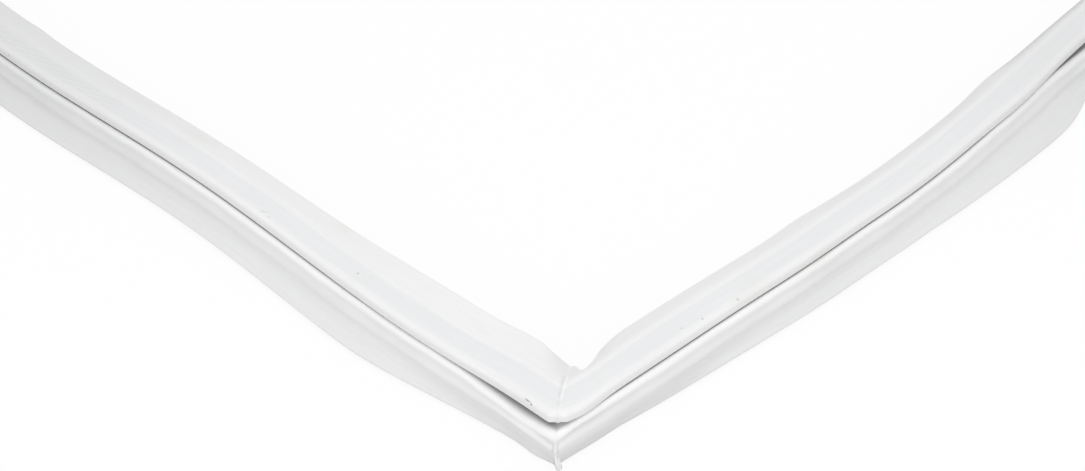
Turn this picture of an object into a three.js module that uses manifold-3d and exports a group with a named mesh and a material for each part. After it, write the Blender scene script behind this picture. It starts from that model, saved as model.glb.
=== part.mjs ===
// A magnetic door gasket for a refrigerator: one welded frame of soft white PVC profile, with a
// magnetic strip lying loose in the sealing head of each side. Millimetres, +Z up, lying on a table.
import * as THREE from "three";
import { mergeVertices } from "three/addons/utils/BufferGeometryUtils.js";
import Module from "manifold-3d";

const wasm = await Module();
wasm.setup();

// Frame, measured along the outer edges of the sealing head
const frontLength = 550;
const sideLength = 650;

// Sealing head: a flat shell round the magnetic strip, with a thin lip along its inner side
const headWidth = 14;
const headThickness = 4.2;
const headTop = 23;
const headEdgeRadius = 1.7;
const headRidgeWidth = 2.2;
const headRidgeHeight = 0.25;
const lipLength = 11.5;
const lipRootThickness = 1.1;
const lipTipThickness = 0.8;
const lipInset = 0.2;

// Magnetic strip, and the pocket that it lies in
const stripWidth = 9.4;
const stripThickness = 2;
const stripOuterSide = 2.9;
const pocketClearance = 0.3;
const pocketFloor = 0.9;
const stripEndGap = 4;

// Neck between the head and the balloon under it, and the fold that shows as a dark line
const foldHeight = 0.8;
const foldDepth = 7;
const neckWidth = 2.4;

// Balloon: the hollow body of the section
const balloonWidth = 16.2;
const balloonStandsOut = 2.6;
const shoulderRadius = 2.4;
const balloonWall = 1.2;
const plateThickness = 1.2;
const plateUnderside = 5.8;
const ribHeight = 10.9;
const ribRadius = 0.7;
const ribSetBack = 0.5;
const hollowDepth = 1.2;
const hollowHeight = 8.3;

// Feet: the thin lips that spread below the balloon, one on each side of the dart
const footRootHeight = 6.6;
const footThickness = 0.9;
const footTipHeight = 1.1;
const footSagPlace = 0.45;
const footSag = 0.4;
const footReach = 9;
const innerFootReach = 3.4;

// Dart: the barbed rib that pushes into the groove of the door
const dartStem = 1.6;
const dartBarb = 1.5;
const dartBarbHeight = 3.2;
const dartBarbDrop = 1.1;
const dartTip = 0.9;

// Welds: what the mitred corners do to the soft lips, and the thin fin squeezed out of each seam
const mitreBlend = 72;
const cornerBlend = 60;
const weldLipAngle = -30;
const weldLipCut = 0.8;
const weldFootReach = 1;
const weldEdgeCut = 2.6;
const weldCutLength = 14;
const finThickness = 0.9;
const finReach = 3.6;
const finBack = 1.4;
const finTop = 8;
const finBottom = 0.3;

// The photographed weld is skewed: its seam runs off the diagonal towards the inside of the frame
const seamSkew = 0.2;
const seamSkewLength = 60;

// Front side, by distance from the photographed weld
const frontWave = 1.7;
const frontWaveMean = 0.3;
const frontWaveLength = 244;
const frontWavePeak = 95;
const frontLipAngle = -19;
const frontLipLift = 25;
const frontLipPeak = 68;
const frontLipSpread = 71;
const frontLipRoll = 14;
const frontFootFirst = 3;
const frontFootReach = 9.7;
const frontFootStart = 21;
const frontFootEnd = 112;
const frontFootWave = 0.7;
const frontFootWaveLength = 280;
const frontFootWavePeak = 60;

// Right side, by distance from the same weld
const sideBowStart = 190;
const sideBowPeak = 446;
const sideBowDepth = 23.4;
const sideBulge = 1.1;
const sideBulgeEnd = 27;
const sideLipAngle = -32.8;
const sideLipWave = 7.3;
const sideLipWaveLength = 679;
const sideLipWavePeak = 33;
const sideLipCut = 5;
const sideLipCutStart = 4;
const sideLipCutEnd = 22;
const sideFootFirst = 8.9;
const sideFootStart = 32;
const sideFootRise = 89;
const sideFootGrowth = 0.051;
const sideFootGrowthStart = 213;
const sideFootMost = 17;
const sideLean = 4;

// Both come back to the plain form of the other two sides before their far corners
const plainBlendStart = 380;
const plainBlendEnd = 520;
const plainLipAngle = -14;

// Small vents, which let the air out of the two hollows, under the middle of the rear side
const ventRadius = 0.8;
const ventSides = 10;
const balloonVentPlace = 2.4;
const pocketVentPlace = 4.6;

// Mesh steps
const arcSteps = 2;
const photographedStations = 20;
const plainStations = 5;
const stationPower = 1.7;

const whitePvc = new THREE.MeshStandardMaterial({ color: 0xf0f1f1, roughness: 0.42, metalness: 0 });
const darkFerrite = new THREE.MeshStandardMaterial({ color: 0x3a3432, roughness: 0.8, metalness: 0 });

const headUnderside = headTop - headThickness;
const balloonTop = headUnderside - foldHeight;
const balloonInnerSide = balloonStandsOut - balloonWidth;
const dartMiddle = (balloonStandsOut + balloonInnerSide) / 2;
const footRoot = balloonStandsOut - hollowDepth;
const innerFootRoot = balloonInnerSide + hollowDepth;

const { lerp, clamp } = THREE.MathUtils;

// Smooth step from 0 at low to 1 at high.
function rise(value, low, high) {
  const share = clamp((value - low) / (high - low), 0, 1);
  return share * share * (3 - 2 * share);
}

// The outline of the profile, as (u, z): u runs outwards from the head's outer edge, z up.
// The outer foot spreads from its root to reach, beyond the head's edge.
function profileOutline(reach) {
  const lipRoot = -headWidth;
  const lipTip = lipRoot - lipLength;
  const lipTop = headTop - lipInset;
  const neckOuter = -foldDepth;
  const neckInner = neckOuter - neckWidth;
  const plate = plateUnderside;
  const barbTop = dartBarbHeight;
  const barbLow = barbTop - dartBarbDrop;
  const section = new THREE.Shape();
  section.moveTo(lipTip, lipTop - lipTipThickness);
  section.lineTo(lipTip, lipTop);
  section.lineTo(lipTip + lipLength / 2, lipTop);
  section.lineTo(lipRoot, headTop);
  section.lineTo(-headEdgeRadius - headRidgeWidth, headTop);
  section.lineTo(-headEdgeRadius - headRidgeWidth / 2, headTop + headRidgeHeight);
  section.lineTo(-headEdgeRadius, headTop);
  section.absarc(-headEdgeRadius, headTop - headEdgeRadius, headEdgeRadius, Math.PI / 2, 0, true);
  section.lineTo(0, headUnderside + headEdgeRadius / 3);
  section.lineTo(-headEdgeRadius / 3, headUnderside);
  section.lineTo(neckOuter, headUnderside);
  section.lineTo(neckOuter, balloonTop);
  const shoulder = balloonStandsOut - shoulderRadius;
  section.lineTo(shoulder, balloonTop);
  section.absarc(shoulder, balloonTop - shoulderRadius, shoulderRadius, Math.PI / 2, 0, true);
  const wall = balloonStandsOut - ribSetBack;
  section.lineTo(wall, ribHeight + ribRadius);
  section.absarc(wall, ribHeight, ribRadius, Math.PI / 2, -Math.PI / 2, true);
  section.lineTo(footRoot, hollowHeight);
  section.lineTo(footRoot, footRootHeight);
  const tip = new THREE.Vector2(reach, footTipHeight);
  const foot = tip.clone().sub(new THREE.Vector2(footRoot, footRootHeight)).normalize();
  const across = new THREE.Vector2(-foot.y, foot.x).multiplyScalar(footThickness);
  const sag = new THREE.Vector2(footRoot, footRootHeight).lerp(tip, footSagPlace).addScaledVector(across, -footSag);
  section.quadraticCurveTo(sag.x + across.x, sag.y + across.y, tip.x + across.x, tip.y + across.y);
  section.lineTo(tip.x, tip.y);
  section.lineTo(sag.x, sag.y);
  section.lineTo(footRoot - footThickness, plate);
  section.lineTo(dartMiddle + dartStem / 2, plate);
  section.lineTo(dartMiddle + dartStem / 2, barbTop);
  section.lineTo(dartMiddle + dartStem / 2 + dartBarb, barbTop);
  section.lineTo(dartMiddle + dartTip, barbLow);
  section.lineTo(dartMiddle + dartTip, 0);
  section.lineTo(dartMiddle - dartTip, 0);
  section.lineTo(dartMiddle - dartTip, barbLow);
  section.lineTo(dartMiddle - dartStem / 2 - dartBarb, barbTop);
  section.lineTo(dartMiddle - dartStem / 2, barbTop);
  section.lineTo(dartMiddle - dartStem / 2, plate);
  section.lineTo(innerFootRoot + footThickness, plate);
  section.lineTo(innerFootRoot - innerFootReach, footTipHeight);
  section.lineTo(innerFootRoot - innerFootReach - footThickness, footTipHeight + footThickness);
  section.lineTo(innerFootRoot, footRootHeight + footThickness);
  section.lineTo(balloonInnerSide, ribHeight);
  section.lineTo(balloonInnerSide, balloonTop - shoulderRadius);
  section.absarc(balloonInnerSide + shoulderRadius, balloonTop - shoulderRadius, shoulderRadius,
    Math.PI, Math.PI / 2, true);
  section.lineTo(neckInner, balloonTop);
  section.lineTo(neckInner, headUnderside);
  section.lineTo(lipRoot, headUnderside);
  section.lineTo(lipRoot, headTop - lipRootThickness);
  return withoutRepeats(section.getPoints(arcSteps));
}

// The hollow of the balloon.
function balloonOutline() {
  const outer = balloonStandsOut - balloonWall;
  const inner = balloonInnerSide + balloonWall;
  const top = balloonTop - balloonWall;
  const floor = plateUnderside + plateThickness;
  const waist = footRoot - balloonWall;
  const innerWaist = innerFootRoot + balloonWall;
  const cut = shoulderRadius - balloonWall;
  const hollow = new THREE.Shape();
  hollow.moveTo(inner, top - cut);
  hollow.lineTo(inner + cut, top);
  hollow.lineTo(outer - cut, top);
  hollow.lineTo(outer, top - cut);
  hollow.lineTo(outer - ribSetBack, ribHeight);
  hollow.lineTo(waist, hollowHeight);
  hollow.lineTo(waist, floor);
  hollow.lineTo(innerWaist, floor);
  hollow.lineTo(inner, ribHeight);
  return withoutRepeats(hollow.getPoints(1));
}

// A rectangle of the head's pocket or of the strip in it, larger than the strip by spare all round.
function stripOutline(spare) {
  const low = headUnderside + pocketFloor + pocketClearance - spare;
  const high = low + stripThickness + 2 * spare;
  const outer = -stripOuterSide + spare;
  const inner = outer - stripWidth - 2 * spare;
  return [
    new THREE.Vector2(inner, low),
    new THREE.Vector2(inner, high),
    new THREE.Vector2(outer, high),
    new THREE.Vector2(outer, low),
  ];
}

function withoutRepeats(points) {
  const closeBy = 1e-6;
  return points.filter((point, i) => {
    const before = points[(i + points.length - 1) % points.length];
    return point.distanceTo(before) > closeBy;
  });
}

// Share of the plain form at a distance from the photographed weld.
function plainShare(distance) {
  return rise(distance, plainBlendStart, plainBlendEnd);
}

// Share of the welded corner's form at ring place t of a side of the given length.
function weldShare(t, length, blend) {
  return 1 - rise(Math.min(t, length - t), 0, blend);
}

// How the head's edge bows outwards, and how the lip and the foot lie, along the front side.
function frontForm(t) {
  const distance = frontLength - t;
  const plain = plainShare(distance);
  const turn = (2 * Math.PI * (distance - frontWavePeak)) / frontWaveLength;
  const lift = frontLipLift * Math.exp(-(((distance - frontLipPeak) / frontLipSpread) ** 2));
  const spread = rise(distance, frontFootStart, frontFootEnd);
  const footTurn = (2 * Math.PI * (distance - frontFootWavePeak)) / frontFootWaveLength;
  const reach = lerp(frontFootFirst, frontFootReach, spread) + frontFootWave * Math.cos(footTurn) * spread;
  return {
    bow: (frontWaveMean + frontWave * Math.cos(turn)) * (1 - plain) * (1 - weldShare(t, frontLength, cornerBlend)),
    lipAngle: lerp(frontLipAngle + lift, plainLipAngle, plain),
    lipBlend: frontLipRoll,
    lipCut: 0,
    reach: lerp(reach, footReach, plain),
    lean: 0,
  };
}

// The same along the right side.
function sideForm(t) {
  const plain = plainShare(t);
  const inward = rise(t, sideBowStart, sideBowPeak);
  const back = rise(t, sideBowPeak, sideLength);
  const turn = (2 * Math.PI * (t - sideLipWavePeak)) / sideLipWaveLength;
  const first = sideFootFirst * (1 - Math.exp(-Math.max(0, t - sideFootStart) / sideFootRise));
  const growth = sideFootGrowth * Math.max(0, t - sideFootGrowthStart);
  const reach = Math.min(sideFootMost, weldFootReach + first + growth);
  return {
    bow: sideBulge * rise(t, 0, sideBulgeEnd) * (1 - inward) - sideBowDepth * inward * (1 - back),
    lipAngle: lerp(sideLipAngle + sideLipWave * Math.cos(turn), plainLipAngle, plain),
    lipBlend: cornerBlend,
    lipCut: sideLipCut * rise(t, 0, sideLipCutStart) * (1 - rise(t, sideLipCutStart, sideLipCutEnd)),
    reach: lerp(reach, footReach, plain),
    lean: sideLean * rise(t, sideBowStart, plainBlendStart) * (1 - plain),
  };
}

// The two sides that the photograph leaves out are straight and even.
function plainForm() {
  return { bow: 0, lipAngle: plainLipAngle, lipBlend: cornerBlend, lipCut: 0, reach: footReach, lean: 0 };
}

const sides = [
  { name: "front", length: frontLength, form: frontForm, stations: photographedStations, nearStart: false },
  { name: "right", length: sideLength, form: sideForm, stations: photographedStations, nearStart: true },
  { name: "rear", length: frontLength, form: plainForm, stations: plainStations, nearStart: true },
  { name: "left", length: sideLength, form: plainForm, stations: plainStations, nearStart: true },
];

// Each side starts at a corner of the frame and runs counter-clockwise, seen from above.
const corners = [
  new THREE.Vector2(-frontLength / 2, -sideLength / 2),
  new THREE.Vector2(frontLength / 2, -sideLength / 2),
  new THREE.Vector2(frontLength / 2, sideLength / 2),
  new THREE.Vector2(-frontLength / 2, sideLength / 2),
];

// One point of the section, moved as the soft profile lies at place t of the side.
function bentPoint(point, side, t) {
  const form = side.form(t);
  const weld = weldShare(t, side.length, weldCutLength);
  let u = point.x;
  let z = point.y;
  if (u < -headWidth && z > balloonTop) {
    const turned = lerp(form.lipAngle, weldLipAngle, weldShare(t, side.length, form.lipBlend));
    const angle = THREE.MathUtils.degToRad(turned);
    const along = (-headWidth - u) * (1 - (form.lipCut + weldLipCut * weld) / lipLength);
    const over = z - headTop;
    u = -headWidth - along * Math.cos(angle) + over * Math.sin(angle);
    z = headTop + along * Math.sin(angle) + over * Math.cos(angle);
  }
  const outerShare = Math.max(0, 1 + point.x / headWidth);
  if (point.y > balloonTop) u -= weldEdgeCut * outerShare * weld;
  u += form.bow + form.lean * Math.max(0, 1 - z / headUnderside);
  return new THREE.Vector2(u, z);
}

// Share of the photographed seam's skew at place t of a side.
function seamShare(side, t) {
  if (side.form === plainForm) return 0;
  return 1 - rise(side.nearStart ? t : side.length - t, 0, seamSkewLength);
}

// Point of the frame for a bent section point; towards a corner the sections turn into its mitre.
function framePoint(bent, sideIndex, t) {
  const side = sides[sideIndex];
  const startShare = 1 - rise(t, 0, mitreBlend);
  const endShare = 1 - rise(side.length - t, 0, mitreBlend);
  const along = t - bent.x * startShare + bent.x * endShare;
  const start = corners[sideIndex];
  const run = corners[(sideIndex + 1) % corners.length].clone().sub(start).normalize();
  const skew = (-bent.x * seamSkew * seamShare(side, t)) / Math.SQRT2;
  const x = start.x + run.x * along + run.y * bent.x + skew;
  const y = start.y + run.y * along - run.x * bent.x + skew;
  return new THREE.Vector3(x, y, bent.y);
}

// Places of the rings between the two corners of a side, closer together near the photographed weld.
function stationPlaces(side) {
  const places = [];
  const span = side.length - 2 * stripEndGap;
  for (let i = 0; i <= side.stations; i += 1) {
    const share = i / side.stations;
    places.push(stripEndGap + span * (side.form === plainForm ? plainPlace(share) : share ** stationPower));
  }
  return side.nearStart ? places : places.map((place) => side.length - place).reverse();
}

// On the plain sides the rings gather towards both corners.
function plainPlace(share) {
  return (1 - Math.cos(Math.PI * share)) / 2;
}

function ring(outlineOf, sideIndex, t) {
  const side = sides[sideIndex];
  const reach = lerp(side.form(t).reach, weldFootReach, weldShare(t, side.length, weldCutLength));
  return outlineOf(reach).map((point) => framePoint(bentPoint(point, side, t), sideIndex, t));
}

// A closed mesh from rings of equal point count; joined end to end, or with flat end caps.
function loft(rings, isLoop) {
  const count = rings[0].length;
  const positions = rings.flat().flatMap((point) => [point.x, point.y, point.z]);
  const index = [];
  const bands = isLoop ? rings.length : rings.length - 1;
  for (let i = 0; i < bands; i += 1) {
    const here = i * count;
    const there = ((i + 1) % rings.length) * count;
    for (let j = 0; j < count; j += 1) {
      const k = (j + 1) % count;
      index.push(here + j, here + k, there + j);
      index.push(here + k, there + k, there + j);
    }
  }
  if (!isLoop) {
    const last = (rings.length - 1) * count;
    for (let j = 1; j < count - 1; j += 1) {
      index.push(0, j + 1, j);
      index.push(last, last + j, last + j + 1);
    }
  }
  const geometry = new THREE.BufferGeometry();
  geometry.setAttribute("position", new THREE.Float32BufferAttribute(positions, 3));
  geometry.setIndex(index);
  return geometry;
}

// An outline carried all the way round the frame.
function aroundFrame(outlineOf) {
  const rings = sides.flatMap((side, i) => [0, ...stationPlaces(side)].map((t) => ring(outlineOf, i, t)));
  return loft(rings, true);
}

function solidOf(geometry) {
  const bare = new THREE.BufferGeometry();
  bare.setAttribute("position", geometry.getAttribute("position"));
  bare.setIndex(geometry.index);
  const merged = mergeVertices(bare, 1e-4);
  const mesh = new wasm.Mesh({
    numProp: 3,
    vertProperties: merged.attributes.position.array,
    triVerts: new Uint32Array(merged.index.array),
  });
  return new wasm.Manifold(mesh);
}

function geometryOf(solid) {
  const mesh = solid.getMesh();
  const geometry = new THREE.BufferGeometry();
  geometry.setAttribute("position", new THREE.BufferAttribute(new Float32Array(mesh.vertProperties), 3));
  geometry.setIndex(new THREE.BufferAttribute(new Uint32Array(mesh.triVerts), 1));
  geometry.computeVertexNormals();
  return geometry;
}

// A round drill standing on Z, set into the middle of the rear side at a place inwards of the head's edge.
function ventDrill(place, low, high) {
  const drill = new THREE.CylinderGeometry(ventRadius, ventRadius, high - low, ventSides);
  drill.rotateX(Math.PI / 2);
  drill.translate(0, sideLength / 2 - place, (low + high) / 2);
  return solidOf(drill);
}

// The thin fin of weld flash that stands out of the foot of a corner, in the plane of the mitre.
function weldFin(corner) {
  const outline = new THREE.Shape();
  outline.moveTo(-finBack, finBottom + finThickness);
  outline.lineTo(finReach, finBottom);
  outline.lineTo(finReach, finBottom + finThickness * 2);
  outline.lineTo(finReach / 2, finTop - finThickness);
  outline.lineTo(-finBack, finTop);
  const fin = new THREE.ExtrudeGeometry(outline, { depth: finThickness, bevelEnabled: false });
  fin.translate(0, 0, -finThickness / 2);
  fin.rotateX(Math.PI / 2);
  fin.rotateZ(Math.atan2(Math.sign(corner.y), Math.sign(corner.x)));
  fin.translate(corner.x, corner.y, 0);
  return solidOf(fin);
}

function sealProfile() {
  let solid = solidOf(aroundFrame(profileOutline));
  solid = solid.subtract(solidOf(aroundFrame(balloonOutline)));
  solid = solid.subtract(solidOf(aroundFrame(() => stripOutline(pocketClearance))));
  for (const corner of corners) solid = solid.add(weldFin(corner));
  const throughPlate = plateUnderside + 2 * plateThickness;
  const throughFloor = headUnderside + pocketFloor + pocketClearance;
  solid = solid.subtract(ventDrill(balloonVentPlace, plateUnderside - plateThickness, throughPlate));
  solid = solid.subtract(ventDrill(pocketVentPlace, headUnderside - foldHeight / 2, throughFloor));
  const mesh = new THREE.Mesh(geometryOf(solid), whitePvc);
  mesh.name = "seal_profile";
  return mesh;
}

function magnetStrip(sideIndex) {
  const side = sides[sideIndex];
  const rings = stationPlaces(side).map((t) => ring(() => stripOutline(0), sideIndex, t));
  const mesh = new THREE.Mesh(loft(rings, false), darkFerrite);
  mesh.name = `magnet_strip_${side.name}`;
  return mesh;
}

// The origin is the middle of the gasket's box, on the table.
const group = new THREE.Group();
group.add(sealProfile());
sides.forEach((side, i) => group.add(magnetStrip(i)));
const box = new THREE.Box3().setFromObject(group);
const middle = box.getCenter(new THREE.Vector3());
group.position.set(-middle.x, -middle.y, -box.min.z);

export default group;
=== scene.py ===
import math

import bpy
import numpy as np
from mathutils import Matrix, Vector


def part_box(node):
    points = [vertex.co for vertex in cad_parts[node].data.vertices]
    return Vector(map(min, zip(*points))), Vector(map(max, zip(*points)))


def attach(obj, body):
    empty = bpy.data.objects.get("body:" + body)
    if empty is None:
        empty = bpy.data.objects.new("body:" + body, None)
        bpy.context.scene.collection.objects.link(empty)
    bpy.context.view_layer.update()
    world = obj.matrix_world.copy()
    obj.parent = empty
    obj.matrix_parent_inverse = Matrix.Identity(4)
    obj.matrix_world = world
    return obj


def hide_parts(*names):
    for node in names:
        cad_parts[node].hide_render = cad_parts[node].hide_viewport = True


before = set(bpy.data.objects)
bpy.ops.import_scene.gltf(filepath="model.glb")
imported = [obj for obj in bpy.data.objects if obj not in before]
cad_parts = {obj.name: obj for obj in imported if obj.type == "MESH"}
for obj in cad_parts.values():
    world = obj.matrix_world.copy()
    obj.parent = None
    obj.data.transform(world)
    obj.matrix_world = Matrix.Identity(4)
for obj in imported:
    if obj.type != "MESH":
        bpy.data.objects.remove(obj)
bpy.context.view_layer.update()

# A refrigerator door gasket of soft white PVC, seen at one welded corner of its frame.
scene = bpy.context.scene
mm = 0.001

# the soft profile, in millimetres: u runs outwards from the head's edge, z up from the table
seal = {
    "frontLength": 550, "sideLength": 650,
    "headWidth": 14, "headTop": 23, "headUnder": 18.8,
    "headCrown": 0.14, "crownMiddle": -7.1, "crownHalf": 3.75, "crownStep": 0.5,
    "creasePlace": 11.7, "creaseDepth": 0.16, "beadPlace": 2.6, "beadHeight": 0.1,
    "lipLength": 11.5, "lipTop": 22.8, "lipRise": 0.2, "lipRoot": 1.1, "lipTip": 0.7, "lipBendHalf": 2.4,
    "lipCurl": -0.2,
    "stripOuter": 2.9, "balloonTop": 18, "foldDepth": 7, "neckWidth": 2.4,
    "shoulderOut": 1.95, "balloonIn": -13.6, "shoulder": 2.6, "faceOut": 2.1, "faceHeight": 13.5,
    "ribHeight": 10.5, "ribOut": 3.1, "waistIn": -12.4, "plateUnder": 5.8, "underOut": 0.5,
    "footFrom": (2.55, 8.4), "footDown": (-0.45, -2.7), "innerFootRoot": 6.6,
    "footThick": 0.9, "footTip": 1.1, "footSagPlace": 0.45, "footSag": 0.25,
    "footReach": 9, "innerFootReach": 3.4,
    "dartMiddle": -5.5, "dartStem": 0.8, "dartBarb": 1.5, "barbHigh": 3.2, "barbDrop": 1.1, "dartTip": 0.9,
    # which points count as the head's top, the lip's sheet, the body under the head, and the outer face
    "topBand": 0.45, "sheetBand": 0.4, "bodyBelow": 0.3, "outerFrom": -1, "faceFrom": 0.9, "faceAbove": 3,
}

# points along the section besides its corners: shares of the lip, places in millimetres, the neighbours of the
# first and last corner, and how many points the foot has
rows = {
    "lipTop": (0.1, 0.22, 0.36, 0.5, 0.64, 0.76, 0.86, 0.94), "lipUnder": (0.86, 0.72, 0.56, 0.4, 0.25, 0.1),
    "head": (-13.6, -12.9, -12.3), "headUnder": (-1.2, -2.4, -4.6), "balloon": (-5, -3, -1.8, -1),
    "beforeTip": (-25, 21), "tip": (-25.5, 22.1), "footTop": 18, "footNose": 6, "footUnder": 8,
}

# how the profile lies on each side, and what the welds do to it
lay = {
    "mitreBlend": 72, "cornerBlend": 60, "weldLipAngle": -28.6, "weldLipCut": -3.9, "weldFootReach": 0.3,
    "weldCutLength": 14, "edgeCut": 1.8, "edgeCutFront": 5, "edgeCutSide": 6.9,
    "seamSkew": 0.2, "seamSkewLength": 60,
    "frontWave": 1.7, "frontWaveMean": 0.3, "frontWaveLength": 244, "frontWavePeak": 95,
    "frontLipAngle": -19, "frontLipLift": 25, "frontLipPeak": 68, "frontLipSpread": 71, "frontLipRoll": 17.8,
    "frontFootFirst": 2.3, "frontFootReach": 9.7, "frontFootStart": 21, "frontFootEnd": 112,
    "frontFootWave": 0.7, "frontFootWaveLength": 280, "frontFootWavePeak": 60,
    "sideBowStart": 190, "sideBowPeak": 446, "sideBowDepth": 23.4, "sideBulge": 1.1, "sideBulgeEnd": 27,
    "sideLipAngle": -32.8, "sideLipWave": 7.3, "sideLipWaveLength": 679, "sideLipWavePeak": 33,
    "sideLipCut": 8.8, "sideLipCutStart": 10.5, "sideLipCutEnd": 28.6,
    "sideFootFirst": 8.9, "sideFootStart": 32, "sideFootRise": 89, "sideFootGrowth": 0.051,
    "sideFootGrowthStart": 213, "sideFootMost": 17, "sideLean": 4,
    "plainStart": 380, "plainEnd": 520, "plainLipAngle": -14,
}

# the fold under the head: how far the balloon's top sinks below it, by distance from the photographed weld
fold = {
    "seamDrop": 1.5, "frontDrop": 3.2, "frontPeak": 17, "frontBefore": 14, "frontAfter": 24,
    "sideDropEnd": 16, "farDrop": 2.6, "farStart": 318, "farPeak": 372, "farEnd": 450,
    "sinkPlaces": (-8, 0.5), "sinkHeights": (8.5, 17),
}

# small unevennesses of the two photographed sides:
# what changes, where, over what length before and after, and how much
uneven = {
    "front": [("lipAngle", 361, 9, 9, 3), ("reach", 20, 12, 12, -0.7), ("edgeOut", 70, 45, 45, 0.8)],
    "right": [
        ("lipAngle", 161, 14, 14, 3.5), ("lipAngle", 303, 18, 18, 6), ("bow", 140, 30, 30, 0.7),
        ("reach", 365, 30, 110, -13), ("edgeOut", 15, 10, 10, 1.6), ("edgeOut", 300, 25, 25, 1.2),
    ],
}

# rings along the profile: the first step, growth and longest step on seen and hidden lengths
rings = {"first": 0.22, "seen": (1.1, 2.6), "hidden": (1.45, 16), "seenSpan": 400}

# what the weld leaves at the photographed corner; "across" is the distance from the seam along a leg,
# and each bead is its place on the section, half length, distance across and height
seam = {
    "ridgeHigh": 0.12, "ridgeHalf": 0.5,
    "beads": (
        (-17.5, 1.3, 0.5, 0.7), (-14.3, 1.1, 0.4, 0.65), (-11.8, 0.8, 0.5, 0.45), (-8.6, 1.5, 0.2, 0.25),
    ),
    "beadHalf": 0.6,
    "grooveAcross": -1.3, "grooveHalf": 0.5, "grooveDeep": 0.3,
    "grooveFrom": -20, "grooveTo": -6, "grooveEnd": 3,
    "creases": ((-5.4, 0.35, 0.2), (-4.3, 0.35, 0.16)), "creaseAcross": -0.8, "creaseHalf": 1.2,
    "cornerBead": 0.5, "cornerBeadHalf": 0.55, "cornerGroove": 0.35, "cornerGrooveAcross": 1.5,
    "cornerGrooveRise": (6, 9), "cornerGrooveFall": (13, 16),
    "rightCrease": 0.5, "rightCreaseHeight": 14.2,
    "rightCreasePeak": 8, "rightCreaseBefore": 5, "rightCreaseAfter": 22,
    "leftCrease": 0.45, "leftCreaseHeight": 13.4,
    "leftCreasePeak": 4, "leftCreaseBefore": 2.5, "leftCreaseAfter": 5,
}

# the thin flash at the foot of each weld; the photographed one is wider and hooks to the right
flash = {
    "top": 8, "full": 1.5, "out": 2.5, "half": 0.45, "edge": 0.12,
    "photographedOut": 3.2, "photographedRight": 0.7, "hook": 2.9, "spread": 1.2, "cornerSpan": 20,
}

# ripples in the head's top at the far left, and slow wavering of the balloon's shoulder and face
ripples = {
    "high": 0.12, "wave": 3.3, "slant": 0.37, "start": 262, "end": 300, "drift": 21,
    "fadeIn": (2.5, 4.5), "fadeOut": (9.5, 11.5),
}
# each wave is its height, length and phase
waver = {
    "shoulder": ((0.15, 47, 0.4), (0.1, 19, 2.1), (0.04, 8.3, 1)),
    "face": ((0.2, 61, 1.2), (0.1, 23, 0.3), (0.04, 9.1, 2)),
    "heights": (11, 16), "fromWeld": (2, 20),
}


def rise(value, low, high):
    # smooth step: 0 below low, 1 above high
    share = np.clip((value - low) / (high - low), 0, 1)
    return share * share * (3 - 2 * share)


def mix(a, b, share):
    # straight line from a at share 0 to b at share 1
    return a + (b - a) * share


def bump(value, peak, before, after):
    # a bell curve with its own width on each side of the peak
    width = np.where(value < peak, before, after)
    return np.exp(-((value - peak) / width) ** 2)


def growingPlaces(span, growth, longest):
    # steps from a weld that grow by a fixed factor up to the longest one, scaled to end on the span
    places = [0.0]
    step = rings["first"]
    while places[-1] < span:
        places.append(places[-1] + step)
        step = min(step * growth, longest)
    return np.array(places) * span / places[-1]


def sidePlaces(length, startSpan, atStart, atEnd):
    # growing steps from both welds; the last ring is left out, because the next side begins there
    first = growingPlaces(startSpan, *rings[atStart])
    last = growingPlaces(length - startSpan, *rings[atEnd])
    return np.concatenate([first, length - last[-2:0:-1]])


def frontForm(t):
    # the left leg of the picture: a cosine wave sideways, a lip lifted by one bell curve, a foot that spreads
    away = seal["frontLength"] - t
    plain = rise(away, lay["plainStart"], lay["plainEnd"])
    turn = 2 * np.pi * (away - lay["frontWavePeak"]) / lay["frontWaveLength"]
    near = 1 - rise(np.minimum(t, away), 0, lay["cornerBlend"])
    lipSpread = lay["frontLipSpread"]
    lift = lay["frontLipLift"] * bump(away, lay["frontLipPeak"], lipSpread, lipSpread)
    spread = rise(away, lay["frontFootStart"], lay["frontFootEnd"])
    footTurn = 2 * np.pi * (away - lay["frontFootWavePeak"]) / lay["frontFootWaveLength"]
    reach = mix(lay["frontFootFirst"], lay["frontFootReach"], spread)
    reach = reach + lay["frontFootWave"] * np.cos(footTurn) * spread
    return addUneven({
        "bow": (lay["frontWaveMean"] + lay["frontWave"] * np.cos(turn)) * (1 - plain) * (1 - near),
        "lipAngle": mix(lay["frontLipAngle"] + lift, lay["plainLipAngle"], plain),
        "lipBlend": lay["frontLipRoll"],
        "lipCut": 0 * t,
        "reach": mix(reach, seal["footReach"], plain),
        "lean": 0 * t, "edgeOut": 0 * t,
        "drop": frontDrop(away),
        "edgeCutLength": lay["edgeCutFront"],
    }, "front", away)


def addUneven(form, name, away):
    # each unevenness is one bell curve on top of the side's own form
    for what, place, before, after, amount in uneven[name]:
        form[what] = form[what] + amount * bump(away, place, before, after)
    return form


def frontDrop(away):
    # a bell curve that opens the fold, eased to the seam's own drop at the weld
    opening = fold["frontDrop"] * bump(away, fold["frontPeak"], fold["frontBefore"], fold["frontAfter"])
    atSeam = fold["frontDrop"] * math.exp(-(fold["frontPeak"] / fold["frontBefore"]) ** 2)
    return opening + (fold["seamDrop"] - atSeam) * (1 - rise(away, 0, fold["frontBefore"]))


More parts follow.
